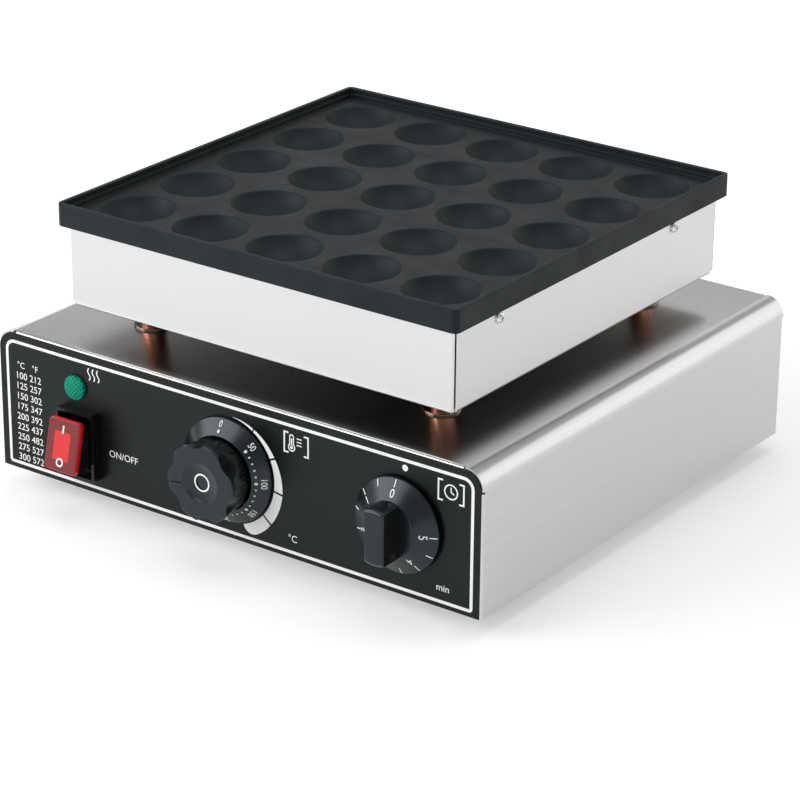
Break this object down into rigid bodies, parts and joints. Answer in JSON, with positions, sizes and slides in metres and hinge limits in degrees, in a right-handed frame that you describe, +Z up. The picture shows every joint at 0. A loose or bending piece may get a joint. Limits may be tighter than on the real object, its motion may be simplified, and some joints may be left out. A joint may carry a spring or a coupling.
{
  "type": "mini pancake maker",
  "caption": "Countertop mini pancake maker: dimpled non-stick pan on a square heater box, posts, and a folded steel base with rocker switch, lamp, thermostat and timer dials.",
  "frame": {"origin": "on the floor under the middle of the whole machine, from the knob's front to the cord gland's end", "axes": "+X to the right seen from the front, +Y to the back, +Z up; the control panel faces -Y"},
  "size_m": [0.35, 0.3688, 0.1805],
  "materials": {
    "wrap_steel": "brushed",
    "box_steel": "fine brushed",
    "plate_steel": "mill finish",
    "screw_steel": "bright plated",
    "panel_print": "satin",
    "foot_rubber": "matte",
    "black_plastic": "fine grain",
    "knob_plastic": "satin",
    "knob_cap": "gloss",
    "copper": "polished copper",
    "brass": "polished",
    "pan_coat": "dark non-stick coat on cast metal",
    "element_steel": "heat-darkened",
    "control_case": "moulded",
    "rocker_red": "gloss, translucent",
    "lens_green": "gloss, faceted",
    "pale_plastic": "moulded",
    "wire_sleeve": "braided sleeve"
  },
  "bodies": {
    "machine": {"base_wrap": "wrap_steel", "heater_box": "box_steel", "front_panel": "plate_steel", "rear_panel": "plate_steel", "bottom_plate": "plate_steel", "heat_shield": "plate_steel", "rear_screws": "screw_steel", "bottom_screws": "screw_steel", "foot_screws": "screw_steel", "foot_nuts": "screw_steel", "box_screws": "screw_steel", "element_clamps": "screw_steel", "clamp_screws": "screw_steel", "thermostat_screws": "screw_steel", "timer_screws": "screw_steel", "terminal_screws": "screw_steel", "lamp_nut": "screw_steel", "panel_overlay": "panel_print", "feet": "foot_rubber", "cord_gland": "black_plastic", "gland_nut": "black_plastic", "switch_housing": "black_plastic", "dial_ring": "knob_plastic", "post_sleeves": "copper", "post_collars": "copper", "thermostat_probe": "copper", "post_tubes": "brass", "post_nuts": "brass", "switch_terminals": "brass", "earth_stud": "brass", "baking_pan": "pan_coat", "heating_element": "element_steel", "thermostat_body": "control_case", "timer_body": "control_case", "lamp_lens": "lens_green", "lamp_holder": "pale_plastic", "terminal_block": "pale_plastic", "wiring": "wire_sleeve"},
    "temperature_dial": {"temperature_knob": "knob_plastic", "knob_cap": "knob_cap", "thermostat_shaft": "screw_steel"},
    "timer_dial": {"timer_knob": "knob_plastic", "timer_shaft": "screw_steel"},
    "rocker": {"rocker_body": "black_plastic", "rocker_cap": "rocker_red"}
  },
  "joints": [
    {"name": "temperature_turn", "type": "hinge", "parent": "machine", "child": "temperature_dial", "pos_m": [0, -0.1584, 0.056], "axis": [0, 1, 0], "range_deg": [-261, 9]},
    {"name": "timer_turn", "type": "hinge", "parent": "machine", "child": "timer_dial", "pos_m": [0.1207, -0.1584, 0.056], "axis": [0, 1, 0], "range_deg": [0, 270]},
    {"name": "rocker_tip", "type": "hinge", "parent": "machine", "child": "rocker", "pos_m": [-0.1108, -0.1612, 0.0437], "axis": [1, 0, 0], "range_deg": [0, 26]}
  ]
}
